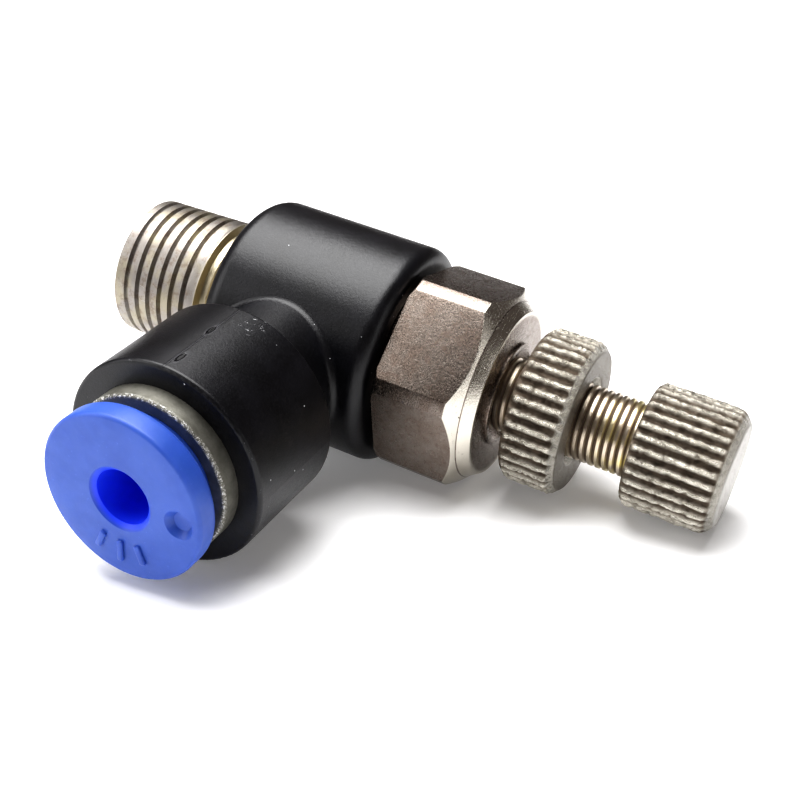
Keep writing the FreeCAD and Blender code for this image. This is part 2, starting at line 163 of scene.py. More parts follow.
def new_material(name):
    """An empty node material, and its object coordinates in millimetres."""
    material = bpy.data.materials.new(name)
    material.use_nodes = True
    tree = material.node_tree
    tree.nodes.clear()
    start = Wire(tree)
    coordinates = start.node("TexCoord", {}, {}, "Object")
    place = coordinates.node("VectorMath", {"operation": "SCALE"}, {0: coordinates, "Scale": 1 / MM})
    return material, place


def finish_material(place, sockets):
    """The Principled shader with these values or links, on the surface output."""
    shader = place.node("BsdfPrincipled", {}, sockets)
    place.node("OutputMaterial", {}, {"Surface": shader})


def coat(objects, material):
    for piece in objects:
        piece.data.materials.clear()
        piece.data.materials.append(material)


paper, place = new_material("white_table")
grain = place.noise(0.8, 4.0)
finish_material(place, {
    "Base Color": grain.fade(0.3, 0.7).blend(colour(0.90, 0.90, 0.91), colour(0.93, 0.93, 0.93)),
    "Roughness": 0.6, "Normal": grain.bump(0.02 * MM),
    "Emission Color": colour(1.0, 1.0, 1.0), "Emission Strength": 0.14})
coat([table], paper)

camera_azimuth = math.radians(23.95)
camera_elevation = math.radians(34.04)
camera_roll = math.radians(-6.76)
camera_distance = 81.38 * MM
look_at = Vector((tube_x + 8.23 * MM, -4.86 * MM, 0))
back = Vector((math.sin(camera_azimuth) * math.cos(camera_elevation),
               -math.cos(camera_azimuth) * math.cos(camera_elevation), math.sin(camera_elevation)))
level = (-back).cross(Vector((0, 0, 1))).normalized()
down = (-back).cross(level)
right = level * math.cos(camera_roll) + down * math.sin(camera_roll)
up = level * math.sin(camera_roll) - down * math.cos(camera_roll)
bpy.ops.object.camera_add()
camera = bpy.context.object
camera.name = "camera"
camera.matrix_world = (Matrix.Translation(look_at + back * camera_distance)
                       @ Matrix((right, up, back)).transposed().to_4x4())
camera.data.lens = 57.1
camera.data.sensor_width = 36.0
camera.data.clip_start = 0.001
bpy.context.scene.camera = camera
bpy.context.scene.view_settings.view_transform = "Standard"
bpy.context.scene.view_settings.look = "High Contrast"


def softbox(name, direction, distance, size, radiance):
    """A square soft light that faces the valve from a direction, as bright as radiance says."""
    place = look_at + Vector(direction).normalized() * distance
    bpy.ops.object.light_add(type="AREA", location=place)
    light = bpy.context.object
    light.name = name
    light.data.shape = "SQUARE"
    light.data.size = size
    light.data.energy = radiance * math.pi * size * size
    light.rotation_euler = (place - look_at).to_track_quat("Z", "Y").to_euler()


softbox("light_overhead", (-0.34, 0.17, 0.93), 0.45, 0.42, 6.2)
softbox("light_front_left", (-0.78, -0.50, 0.40), 0.45, 0.30, 2.4)
softbox("light_right", (0.90, 0.10, 0.30), 0.50, 0.16, 1.6)
world = bpy.data.worlds.new("studio")
bpy.context.scene.world = world
world.use_nodes = True
air = Wire(world.node_tree)
room = air.node("Background", {}, {"Color": colour(0.105, 0.092, 0.086), "Strength": 1.0})
backdrop = air.node("Background", {}, {"Color": colour(0.92, 0.92, 0.92), "Strength": 1.0})
seen = air.node("LightPath", {}, {}, "Is Camera Ray")
surround = air.node("MixShader", {}, {0: seen, 1: room, 2: backdrop})
world.node_tree.links.new(surround.socket, world.node_tree.nodes["World Output"].inputs["Surface"])

# ------------------------------------------------------------------ port stem
# Nickel-plated brass, turned: a 1/8 in taper pipe thread, 27 per inch, with a plain lead, a relief
# beside the elbow, and inside the elbow two journals, a waist with cross holes and a hollow nose.
TURN = 2 * math.pi
stem_low, stem_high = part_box("port_stem")
seat_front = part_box("seat_ring")[1].x
stem_seal_low, stem_seal_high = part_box("stem_o_ring")
gasket_low, gasket_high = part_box("joint_gasket")
port_pitch = 25.4 / 27 * MM
port_crest = 5.0 * MM
port_taper = 1 / 32             # radial, per length
port_thread_depth = 0.26 * MM
port_thread_length = 6.75 * MM
port_lead_chamfer = 0.16 * MM
port_lead_length = 0.10 * MM    # plain metal before the first turn
port_crest_share = 0.58         # of the pitch
port_thread_fade = 0.10 * MM    # of the last turn into the run-out
# the run-out steps down to the relief: length past the last turn, height above the relief
port_run_out = ((0.15 * MM, 0.12 * MM), (0.60 * MM, 0.10 * MM), (0.68 * MM, 0.0))
RING_REACH = 0.0005 * MM        # vertices this near a station belong to its ring
MERGE_REACH = 0.001 * MM
CUT_REACH = 0.0001 * MM
ROOT_BOW = ((0.42, 0.52), (0.86, 0.97), (1.14, 0.97), (1.58, 0.52))   # shares of flank and depth
relief_radius = 4.45 * MM
flow_radius = 3.0 * MM
flow_chamfer = 0.20 * MM


def clear_selection():
    bpy.ops.object.select_all(action="DESELECT")


def sketch(name, points):
    """A chain of edges through (station, radius) points, drawn by extruding one corner."""
    clear_selection()
    bpy.ops.mesh.primitive_plane_add(size=MM)
    piece = bpy.context.object
    piece.name = name
    piece.data.name = name
    bpy.ops.object.mode_set(mode="EDIT")
    bpy.ops.mesh.merge(type="CENTER")
    bpy.ops.transform.translate(value=(points[0][0], 0, points[0][1]))
    for before, after in zip(points, points[1:]):
        step = (after[0] - before[0], 0, after[1] - before[1])
        bpy.ops.mesh.extrude_region_move(TRANSFORM_OT_translate={"value": step})
    return piece


def close_up():
    """On the piece in edit mode, merges doubles, turns every face outwards and leaves edit mode."""
    bpy.ops.mesh.select_all(action="SELECT")
    bpy.ops.mesh.remove_doubles(threshold=MERGE_REACH)
    bpy.ops.mesh.normals_make_consistent(inside=False)
    bpy.ops.mesh.select_all(action="DESELECT")
    bpy.ops.object.mode_set(mode="OBJECT")


def turned(name, points, steps=128):
    """A piece turned about the X axis from a closed outline."""
    piece = sketch(name, points + points[:1])
    bpy.ops.mesh.select_all(action="SELECT")
    bpy.ops.mesh.spin(steps=steps, angle=TURN, center=(0, 0, 0), axis=(1, 0, 0))
    close_up()
    return piece


def smoothed(piece, angle):
    """Shades a piece smooth where its faces meet at less than an angle in degrees."""
    clear_selection()
    piece.select_set(True)
    bpy.context.view_layer.objects.active = piece
    bpy.ops.object.shade_smooth_by_angle(angle=math.radians(angle))


def modify(piece, kind, **settings):
    """Adds a modifier, sets it and applies it."""
    clear_selection()
    piece.select_set(True)
    bpy.context.view_layer.objects.active = piece
    modifier = piece.modifiers.new(kind.lower(), kind)
    for name, value in settings.items():
        setattr(modifier, name, value)
    bpy.ops.object.modifier_apply(modifier=modifier.name)


def select_where(test):
    """In edit mode, selects just the vertices that pass a test on their place."""
    mesh = bmesh.from_edit_mesh(bpy.context.object.data)
    bpy.ops.mesh.select_mode(type="VERT")
    bpy.ops.mesh.select_all(action="DESELECT")
    for vertex in mesh.verts:
        vertex.select = test(vertex.co)
    mesh.select_flush(True)
    bmesh.update_edit_mesh(bpy.context.object.data)


def select_loop_at(station):
    """Selects the ring of vertices at a station."""
    select_where(lambda co: abs(co.x - station) < RING_REACH)


def grow(points):
    """Extrudes the selected loop from ring to ring, each a (station, radius) about the X axis."""
    data = bpy.context.object.data
    for station, radius in points:
        bpy.ops.mesh.extrude_region_move()
        mesh = bmesh.from_edit_mesh(data)
        for vertex in mesh.verts:
            if vertex.select:
                share = radius / math.hypot(vertex.co.y, vertex.co.z)
                vertex.co = (station, vertex.co.y * share, vertex.co.z * share)
        bmesh.update_edit_mesh(data)


def threaded(name, pitch, start, end, crest, depth, crest_share, fade_in, fade_out, taper, steps):
    """A threaded tube, open at both ends, left in edit mode.  The thread fades out at both ends."""
    turns = math.ceil((end - start) / pitch) + 2
    flank = (1 - crest_share) / 2 * pitch
    first = start - pitch
    root = first + crest_share * pitch
    piece = sketch(name, [
        (first, crest), (root, crest),
        *((root + along * flank, crest - down * depth) for along, down in ROOT_BOW),
        (first + pitch, crest)])
    bpy.ops.object.mode_set(mode="OBJECT")
    modify(piece, "SCREW", axis="X", angle=TURN, screw_offset=pitch, iterations=turns,
           steps=steps, render_steps=steps, use_merge_vertices=False)
    bpy.ops.object.mode_set(mode="EDIT")
    bpy.ops.mesh.select_all(action="SELECT")
    bpy.ops.mesh.remove_doubles(threshold=MERGE_REACH)
    for plane, outwards in ((start, -1), (end, 1)):
        bpy.ops.mesh.select_all(action="SELECT")
        bpy.ops.mesh.bisect(plane_co=(plane, 0, 0), plane_no=(outwards, 0, 0), clear_outer=True,
                            threshold=CUT_REACH)
    mesh = bmesh.from_edit_mesh(piece.data)
    for vertex in mesh.verts:
        station = vertex.co.x
        radius = math.hypot(vertex.co.y, vertex.co.z)
        into = min(max((station - start - fade_in) / pitch, 0), 1)
        before_end = min(max((end - fade_out - station) / pitch, 0), 1)
        filed = crest + taper * station - (crest - radius) * into * before_end
        vertex.co.y *= filed / radius
        vertex.co.z *= filed / radius
    bmesh.update_edit_mesh(piece.data)
    return piece


thread_end = stem_low.x
thread_top = thread_end + port_thread_length
start_radius = port_crest + port_taper * thread_end
barrel_rear = tube_x - 5.96 * MM
journal_back = barrel_rear + 0.15 * MM
journal_front = tube_x - 2.70 * MM
journal_radius = 5.45 * MM
groove_half = 0.60 * MM
groove_floor = 4.60 * MM
waist_radius = 4.20 * MM
collar_back = tube_x + 2.17 * MM
collar_front = tube_x + 3.02 * MM
nose_radius = 4.0 * MM
spindle_bore = 2.10 * MM
chamber_front = tube_x + 1.70 * MM
chamber_radius = 2.40 * MM
cross_hole_radius = 1.10 * MM
stem_seal_x = (stem_seal_low.x + stem_seal_high.x) / 2

port_stem = threaded("port_stem_turned", port_pitch, thread_end + port_lead_chamfer, thread_top,
                     port_crest, port_thread_depth, port_crest_share, port_lead_length,
                     port_thread_fade, port_taper, 128)
select_loop_at(thread_top)
grow([
    *((thread_top + past, relief_radius + above) for past, above in port_run_out),
    (journal_back, relief_radius), (journal_back, journal_radius),
    (stem_seal_x - groove_half, journal_radius), (stem_seal_x - groove_half, groove_floor),
    (stem_seal_x + groove_half, groove_floor), (stem_seal_x + groove_half, journal_radius),
    (journal_front, journal_radius), (journal_front, waist_radius), (collar_back, waist_radius),
    (collar_back, journal_radius), (collar_front, journal_radius), (collar_front, gasket_high.z),
    (gasket_low.x, gasket_high.z), (gasket_low.x, nose_radius), (stem_high.x, nose_radius),
    (stem_high.x, spindle_bore), (chamber_front, spindle_bore), (chamber_front, chamber_radius),
    (seat_front, chamber_radius), (seat_front, flow_radius),
    (thread_end + flow_chamfer, flow_radius), (thread_end, flow_radius + flow_chamfer),
    (thread_end, start_radius - port_lead_chamfer)])
lead_ring = start_radius - 1.5 * port_lead_chamfer
thread_start = thread_end + port_lead_chamfer
select_where(lambda co: min(abs(co.x - thread_end), abs(co.x - thread_start)) < RING_REACH
             and math.hypot(co.y, co.z) > lead_ring)
bpy.ops.mesh.bridge_edge_loops()
close_up()

for turn in (0, math.pi / 2):
    clear_selection()
    bpy.ops.mesh.primitive_cylinder_add(vertices=32, radius=cross_hole_radius, depth=3 * waist_radius,
                                        location=(tube_x, 0, 0), rotation=(turn, 0, 0))
    drill = bpy.context.object
    modify(port_stem, "BOOLEAN", operation="DIFFERENCE", object=drill)
    bpy.data.objects.remove(drill)
smoothed(port_stem, 40)


def plated(name, nickel, warm, fresh, roughness, pit_depth, stain, turned_share):
    """Satin nickel over brass: cloudy tint, brown bloom, ragged pits, and fine bright scratches.
    The last value is a function of station and radius in millimetres: 1 where the colour is fresh."""
    material, place = new_material(name)
    x, y, z = place.parts()
    radius = (y * y + z * z) ** 0.5
    cloud = place.noise(0.7, 3.0)
    fine = place.noise(9.0, 4.0, 0.65)
    grit = place.noise(20.0, 3.0, 0.7)
    bloom = place.noise(1.7, 5.0, 0.72).fade(0.48, 0.64)
    pits = place.noise(4.6, 5.0, 0.80).fade(0.64, 0.70)
    grooves = place.node("CombineXYZ", {}, {"X": x * 14.0, "Y": radius * 14.0, "Z": 0.0}).noise(1.0, 2.0)
    scratch = place.stretched(0.5, 5.0, 5.0).noise(1.6, 5.0, 0.7).fade(0.66, 0.70)
    bright = turned_share(x, radius)
    tint = cloud.fade(0.42, 0.66).blend(nickel, warm)
    stained = (bloom * stain * (1 - bright)).blend(tint, colour(0.20, 0.155, 0.13))
    worn = (fine.fade(0.58, 0.75) * 0.30 + scratch * 0.35).blend(
        (bright * 0.85).blend(stained, fresh), colour(0.78, 0.75, 0.70))
    height = fine * 0.45 + grit * 0.25 - pits * 0.9 + grooves * 0.25 - scratch * 0.2
    finish_material(place, {
        "Base Color": (pits * stain).blend(worn, colour(0.60, 0.56, 0.50)),
        "Metallic": 1.0,
        "Roughness": fine.fade(0.3, 0.8) * 0.14 + roughness + bloom * 0.06 - bright * 0.08,
        "Normal": height.bump(pit_depth * MM)})
    return material


def relief_share(x, radius):
    return x.fade(thread_top / MM - 0.10, thread_top / MM + 0.05)


thread_nickel = plated("port_thread_nickel", colour(0.31, 0.29, 0.27), colour(0.35, 0.32, 0.255),
                       colour(0.58, 0.52, 0.38), 0.38, 0.020, 0.6, relief_share)
coat([port_stem], thread_nickel)
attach(port_stem, "valve_stem")
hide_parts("port_stem")

# ------------------------------------------------------------------ hexagon bonnet and needle guide
# Nickel-plated brass bar, 12.7 mm across flats, its corners turned off and its end chamfered, with a
# grooved skirt that screws on the stem's nose.  A bush pressed into it guides the needle screw.
hex_low, hex_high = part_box("hex_bonnet")
guide_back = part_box("needle_guide")[0].x
seal_low, seal_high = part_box("bonnet_o_ring")
across_flats = 12.70 * MM
barrel_gap = 0.27 * MM          # between the barrel's end and the hexagon
corner_trim = 0.27 * MM         # turned off the bar's corners
hex_back = body_high.x + barrel_gap
corner_radius = across_flats / math.sqrt(3) - corner_trim
back_chamfer = 0.25 * MM
end_chamfer_angle = math.radians(40)
collar_length = 0.75 * MM
collar_radius = across_flats / 2 - 0.25 * MM
end_face_radius = across_flats / 2 - 0.75 * MM
hex_first_corner = math.radians(45)     # from +Y towards +Z
hex_edge_round = 0.18 * MM
guide_radius = 3.40 * MM
cavity_radius = 3.10 * MM
seal_x = (seal_low.x + seal_high.x) / 2
cavity_back = stem_high.x + 0.15 * MM
collar_back_x = hex_high.x - collar_length
chamfer_back = collar_back_x - (corner_radius - collar_radius) * math.tan(end_chamfer_angle)

hexagon = turned("hexagon_bonnet", [
    (hex_low.x, nose_radius), (hex_low.x, journal_radius), (seal_x - groove_half, journal_radius),
    (seal_x - groove_half, groove_floor), (seal_x + groove_half, groove_floor),
    (seal_x + groove_half, journal_radius), (hex_back, journal_radius),
    (hex_back, corner_radius - back_chamfer), (hex_back + back_chamfer, corner_radius),
    (chamfer_back, corner_radius), (collar_back_x, collar_radius), (hex_high.x, end_face_radius),
    (hex_high.x, guide_radius), (guide_back, guide_radius), (guide_back, cavity_radius),
    (cavity_back, cavity_radius), (cavity_back, nose_radius)], 192)
clear_selection()
bar_length = hex_high.x - hex_low.x + 2 * MM
bpy.ops.mesh.primitive_cylinder_add(
    vertices=6, radius=across_flats / math.sqrt(3), depth=bar_length,
    location=((hex_low.x + hex_high.x) / 2, 0, 0), rotation=(0, math.pi / 2, 0))
bar = bpy.context.object
bpy.ops.object.transform_apply(location=True, rotation=True, scale=False)
first = bar.data.vertices[0].co
bar.data.transform(Matrix.Rotation(hex_first_corner - math.atan2(first.z, first.y), 4, "X"))
modify(hexagon, "BOOLEAN", operation="INTERSECT", object=bar)
bpy.data.objects.remove(bar)
modify(hexagon, "BEVEL", width=hex_edge_round, segments=3, limit_method="ANGLE",
       angle_limit=math.radians(18))
bpy.ops.object.mode_set(mode="EDIT")
close_up()
smoothed(hexagon, 14)


def cut_share_less_painted_shade(x, radius):
    """1 on the chamfer and the end, which the lathe cut after the bar was drawn; 0 on a painted shade
    line where the chamfer meets the collar and on a painted shade ring round the guide.
    """
    back_cone = radius + (x - chamfer_back / MM) / math.tan(end_chamfer_angle)
    line = x - collar_back_x / MM
    # painted shade: a thin dark ring where the chamfer meets the collar, standing in for the shade of
    # that crease
    groove = 1 - (line * line).fade(0.0002, 0.0016)
    # painted shade: the end face is darkened round the guide, standing in for the nut's shade and its
    # dark reflection
    painted_nut_shade = 1 - radius.fade(end_face_radius / MM - 0.35, end_face_radius / MM - 0.05)
    chamfer = back_cone.fade(corner_radius / MM - 0.07, corner_radius / MM - 0.02)
    return chamfer * (1 - groove) * (1 - painted_nut_shade)


hex_nickel = plated("hexagon_nickel", colour(0.25, 0.215, 0.19), colour(0.22, 0.18, 0.155),
                    colour(0.70, 0.67, 0.60), 0.19, 0.036, 0.65, cut_share_less_painted_shade)
coat([hexagon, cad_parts["needle_guide"]], hex_nickel)
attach(hexagon, "valve_stem")
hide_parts("hex_bonnet")

# ------------------------------------------------------------------ elbow
# Black glass-filled nylon, moulded in one with the barrel round the stem and the boss for the tube.
# The skin is satin and slightly grained, with dust on it and two nicks on the boss's parting line.
boss_front = body_low.y
moulding, place = new_material("black_moulding")
x, y, z = place.parts()
mottle = place.noise(0.5, 4.0, 0.6)
skin = place.noise(6.0, 5.0, 0.7)
dust_pick = place.cells(1.15, "Color").parts()[0].fade(0.60, 0.62)
dust = (1 - place.cells(1.15).fade(0.040, 0.070)) * dust_pick
fluff = place.noise(2.6, 6.0, 0.75).fade(0.68, 0.84)
off_axis = ((x - tube_x / MM) * (x - tube_x / MM) + z * z) ** 0.5
edge_ring = (off_axis - boss_radius / MM) * (off_axis - boss_radius / MM) + (
    y - boss_front / MM) * (y - boss_front / MM)
edge_wear = (1 - edge_ring.fade(0.005, 0.03)) * place.noise(2.6, 5.0, 0.75).fade(0.60, 0.66)
off_middle = x - tube_x / MM
parting = (1 - (off_middle * off_middle).fade(0.0005, 0.006)) * z.fade(1.0, 2.0) * (
    (0 - y).fade(8.0, 9.5)) * off_axis.fade(boss_radius / MM - 0.12, boss_radius / MM - 0.06)
spill = (1 - place.apart_from((tube_x / MM + 1.4, -11.85, 6.6)).fade(0.3, 1.4)) * (
    place.noise(3.0, 3.0, 0.8).fade(0.62, 0.65))
nick_slimness = 0.30            # the nicks are long along the boss
nicks = 0.0
nick_rims = 0.0
for nick_x, nick_y in ((0.25, -17.5), (-0.05, -14.1)):
    nick_z = math.sqrt((boss_radius / MM) ** 2 - nick_x ** 2)
    middle = (tube_x / MM + nick_x, nick_y * nick_slimness, nick_z)
    apart = place.stretched(1.0, nick_slimness, 1.0).apart_from(middle)
    nicks = (1 - apart.fade(0.09, 0.17)) + nicks
    nick_rims = apart.fade(0.12, 0.18) * (1 - apart.fade(0.20, 0.27)) + nick_rims
black = mottle.fade(0.3, 0.7).blend(colour(0.003, 0.003, 0.0045), colour(0.008, 0.008, 0.011))
grey = (skin.fade(0.50, 0.85) * 0.22 + fluff * 0.22).blend(black, colour(0.045, 0.045, 0.052))
marked = (edge_wear * 0.5 + parting * 0.09 + nick_rims * 0.12).blend(grey, colour(0.22, 0.22, 0.24))
dusty = dust.math("MAXIMUM", dust, spill).blend(marked, colour(0.70, 0.71, 0.73))
relief = skin * 0.6 + dust * 1.6 + spill * 1.6 - nicks * 4.0 + parting + fluff * 0.4
finish_material(place, {
    "Base Color": nicks.blend(dusty, colour(0.004, 0.004, 0.005)),
    "Roughness": skin * 0.22 + 0.24 + dust * 0.3,
    "IOR": 1.50,
    "Normal": relief.bump(0.022 * MM)})
coat([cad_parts["elbow_body"]], moulding)

# ------------------------------------------------------------------ guide ring
# Zinc-alloy ring pressed into the boss, satin grey, its outer edge rubbed bright.  Its inner lip
# holds the release ring, and it backs the claws.
ring_low, ring_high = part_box("guide_ring")
ring_radius = (ring_high.x - ring_low.x) / 2 / MM
zinc, place = new_material("satin_zinc")
x, y, z = place.parts()
off_axis = ((x - tube_x / MM) * (x - tube_x / MM) + z * z) ** 0.5
speck = place.noise(7.0, 5.0, 0.75)
cloud = place.noise(1.2, 3.0)
edge_ring = (off_axis - ring_radius) * (off_axis - ring_radius) + (
    y - ring_low.y / MM) * (y - ring_low.y / MM)
rubbed = (1 - edge_ring.fade(0.01, 0.07)) * speck.fade(0.50, 0.60)
satin = cloud.fade(0.3, 0.7).blend(colour(0.20, 0.195, 0.17), colour(0.27, 0.265, 0.235))
finish_material(place, {
    "Base Color": rubbed.blend((speck.fade(0.5, 0.8) * 0.4).blend(satin, colour(0.13, 0.125, 0.11)),
                               colour(0.85, 0.84, 0.80)),
    "Metallic": 0.9, "Roughness": 0.52 - rubbed * 0.28 + cloud * 0.08,
    "Normal": (speck + rubbed * speck * 2.0).bump(0.012 * MM)})
coat([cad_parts["guide_ring"]], zinc)

# ------------------------------------------------------------------ release ring
# Blue acetal push ring, moulded in one: a disc with rounded edges, a neck, and a slotted skirt with
# a snap-in barb.  Its face has an ejector mark beside the bore and raised size bars below it.
release_bore = 1.80 * MM
release_mouth = 2.12 * MM
release_mouth_depth = 0.28 * MM
disc_radius = (disc_high.x - disc_low.x) / 2
disc_front = -disc_low.y
disc_thickness = 1.71 * MM
disc_back = disc_front - disc_thickness
disc_back_round = 0.50 * MM
disc_front_round = 0.28 * MM
neck_radius = 4.30 * MM
neck_length = 2.00 * MM
neck_back = disc_back - neck_length
skirt_radius = 2.90 * MM
barb_radius = 3.25 * MM
skirt_length = 1.60 * MM        # from the neck to the barb
barb_front = neck_back - skirt_length
barb_length = 0.55 * MM
skirt_tip_radius = 2.45 * MM
release_tip = -disc_high.y
slot_width = 0.60 * MM
ejector_reach = 3.97 * MM
ejector_mouth = 0.95 * MM
ejector_floor = 0.58 * MM
ejector_depth = 0.40 * MM
bar_reach = 3.66 * MM
bar_turns = (-22, 0, 22)
bar_lengths = (1.25 * MM, 1.45 * MM, 1.25 * MM)
bar_height = 0.36 * MM          # half of it stands out of the face
bar_width = 0.40 * MM
bar_round = 0.10 * MM


def arc(centre, radius, first, last, count):
    """Points of a quarter round on (station, radius) axes, angles in degrees."""
    points = []
    for step in range(count + 1):
        angle = math.radians(first + (last - first) * step / count)
        points.append((centre[0] + radius * math.cos(angle), centre[1] + radius * math.sin(angle)))
    return points


release = turned("release_ring_blue", [
    (release_tip, release_bore), (release_tip, skirt_tip_radius),
    (barb_front - barb_length, barb_radius), (barb_front, barb_radius), (barb_front, skirt_radius),
    (neck_back, skirt_radius), (neck_back, neck_radius), (disc_back, neck_radius),
    *arc((disc_back + disc_back_round, disc_radius - disc_back_round), disc_back_round, 180, 90, 6),
    *arc((disc_front - disc_front_round, disc_radius - disc_front_round), disc_front_round, 90, 8, 6),
    (disc_front - 0.02 * MM, disc_radius - 1.2 * MM), (disc_front, disc_radius - 2.0 * MM),
    (disc_front, release_mouth), (disc_front - release_mouth_depth, release_bore)], 144)
for index in range(2):
    clear_selection()
    bpy.ops.mesh.primitive_cube_add(size=1, location=((release_tip + neck_back) / 2 - MM, 0, 0))
    slot = bpy.context.object
    slot.scale = (neck_back - release_tip + 1.7 * MM, 4 * barb_radius, slot_width)
    slot.rotation_euler = (index * math.pi / 2, 0, 0)
    modify(release, "BOOLEAN", operation="DIFFERENCE", object=slot)
    bpy.data.objects.remove(slot)
clear_selection()
bpy.ops.mesh.primitive_cone_add(
    vertices=40, radius1=ejector_floor, radius2=2 * ejector_mouth - ejector_floor,
    depth=2 * ejector_depth, location=(disc_front, ejector_reach, 0), rotation=(0, math.pi / 2, 0))
pin = bpy.context.object
modify(release, "BOOLEAN", operation="DIFFERENCE", object=pin)
bpy.data.objects.remove(pin)
for turn, length in zip(bar_turns, bar_lengths):
    clear_selection()
    bpy.ops.mesh.primitive_cube_add(size=1)
    bar = bpy.context.object
    bar.scale = (bar_height, bar_width, length)
    bpy.ops.object.transform_apply(location=False, rotation=False, scale=True)
    modify(bar, "BEVEL", width=bar_round, segments=3)
    bar.data.transform(Matrix.Translation((disc_front, 0, -bar_reach)))
    bar.data.transform(Matrix.Rotation(math.radians(turn), 4, "X"))
    modify(release, "BOOLEAN", operation="UNION", object=bar)
    bpy.data.objects.remove(bar)
clear_selection()
release.select_set(True)
bpy.context.view_layer.objects.active = release
release.rotation_euler = (0, 0, -math.pi / 2)
release.location = (tube_x, 0, 0)
bpy.ops.object.transform_apply(location=True, rotation=True, scale=False)
bpy.ops.object.mode_set(mode="EDIT")
close_up()
smoothed(release, 32)

blue, place = new_material("blue_acetal")
x, _, z = place.parts()
off_axis = ((x - tube_x / MM) * (x - tube_x / MM) + z * z) ** 0.5
flow = place.noise(0.35, 3.0)
skin = place.noise(5.0, 4.0, 0.6)
# painted shade: inside the bore the blue is deeper and more saturated, standing in for the shade in the
# bore
inner = 1 - off_axis.fade(1.8, 2.2)
pale = flow.fade(0.3, 0.7).blend(colour(0.040, 0.105, 0.44), colour(0.058, 0.135, 0.51))
blue_with_bore_shade = inner.blend(pale, colour(0.03, 0.09, 0.95))
finish_material(place, {
    "Base Color": (skin.fade(0.62, 0.80) * 0.25).blend(blue_with_bore_shade, colour(0.16, 0.28, 0.84)),
    "Roughness": skin * 0.12 + 0.36, "Subsurface Weight": 0.25, "Subsurface Radius": (0.3, 0.4, 1.0),
    "Subsurface Scale": 0.6 * MM,
    "Normal": (skin + flow * 4.0).bump(0.008 * MM)})
coat([release], blue)
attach(release, "release")
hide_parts("release_ring")

# ------------------------------------------------------------------ needle screw
# One turned brass piece: tapered needle, sealed spindle and M5 x 0.5 adjusting thread, thinly nickel
# plated and rubbed back to brass where the nut runs.  The knob is pressed on its spigot.
screw_low, screw_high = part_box("needle_screw")
clip_low, clip_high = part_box("stop_clip")
needle_seal_low, needle_seal_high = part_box("needle_o_ring")
screw_radius = 2.50 * MM
screw_pitch = 0.50 * MM
screw_depth = 0.21 * MM
spindle_radius = 2.05 * MM
shaft_radius = 1.30 * MM
tip_radius = 0.30 * MM
needle_slope = 0.8 / 3.75
clip_floor = 1.65 * MM
clip_slack = 0.03 * MM
seal_slack = 0.03 * MM
spigot_radius = 2.0 * MM
clip_front_x = clip_high.x + clip_slack
clip_back_x = clip_low.x - clip_slack
seal_front_x = needle_seal_high.x + seal_slack
seal_back_x = needle_seal_low.x - seal_slack
undercut_length = 0.40 * MM     # plain spindle in front of the clip
lead_in_length = 0.45 * MM      # cone from the spindle up to the first turn
seal_land_length = 0.50 * MM    # spindle left behind the seal
spigot_end_radius = 0.20 * MM   # the last rings, which close to a point
tip_end_radius = 0.10 * MM
screw_crest_share = 0.40        # of the pitch
screw_start = clip_front_x + undercut_length
thread_back = screw_start + lead_in_length
cone_front = screw_low.x + (shaft_radius - tip_radius) / needle_slope

screw = threaded("needle_screw_turned", screw_pitch, thread_back, knob_low.x,
                 screw_radius, screw_depth, screw_crest_share, 0.0, 0.0, 0.0, 96)
select_loop_at(knob_low.x)
grow([(knob_low.x, spigot_radius), (screw_high.x, spigot_radius),
      (screw_high.x, spigot_end_radius)])
bpy.ops.mesh.merge(type="CENTER")
select_loop_at(thread_back)
grow([(screw_start, spindle_radius), (clip_front_x, spindle_radius), (clip_front_x, clip_floor),
      (clip_back_x, clip_floor), (clip_back_x, spindle_radius), (seal_front_x, spindle_radius),
      (seal_front_x, shaft_radius), (seal_back_x, shaft_radius), (seal_back_x, spindle_radius),
      (seal_back_x - seal_land_length, spindle_radius), (seal_back_x - seal_land_length, shaft_radius),
      (cone_front, shaft_radius), (screw_low.x, tip_radius), (screw_low.x, tip_end_radius)])
bpy.ops.mesh.merge(type="CENTER")
close_up()
smoothed(screw, 40)

rubbed_brass, place = new_material("rubbed_brass_thread")
x, y, z = place.parts()
radius = (y * y + z * z) ** 0.5
cloud = place.noise(0.7, 3.0)
fine = place.noise(8.0, 4.0, 0.65)
root = 1 - radius.fade(2.31, 2.45)
near_knob = x.fade(knob_low.x / MM - 3.2, knob_low.x / MM - 0.6)
metal = (cloud.fade(0.40, 0.62) * near_knob).blend(colour(0.58, 0.51, 0.42), colour(0.76, 0.68, 0.38))
worn = (fine.fade(0.50, 0.72) * 0.4).blend(metal, colour(0.74, 0.68, 0.56))
finish_material(place, {
    "Base Color": (root * 0.85).blend(worn, colour(0.10, 0.065, 0.04)),
    "Metallic": 1 - root * 0.3, "Roughness": fine * 0.18 + 0.22 + root * 0.2,
    "Normal": fine.bump(0.010 * MM)})
coat([screw], rubbed_brass)
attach(screw, "needle")
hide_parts("needle_screw")

# ------------------------------------------------------------------ lock nut
# Straight-knurled brass nut on the adjusting thread, countersunk on both faces, nickel plated and
# tumbled: the knurl's crests are dented and broken up, and its grooves are dull.
nut_low, nut_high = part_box("lock_nut")
nut_radius = 5.20 * MM
nut_face_radius = 4.68 * MM
nut_teeth = 38
nut_back_chamfer = 0.35 * MM
nut_front_chamfer = 0.56 * MM
nut_bore = 2.55 * MM
countersink_width = 0.55 * MM
countersink_depth = 0.45 * MM
knurl_depth = 0.34 * MM
dent_depth = 0.16 * MM
nut_face_curve = 1.15           # 1 is a straight chamfer, 2 a round one
row_height = 0.13 * MM
points_per_tooth = 10


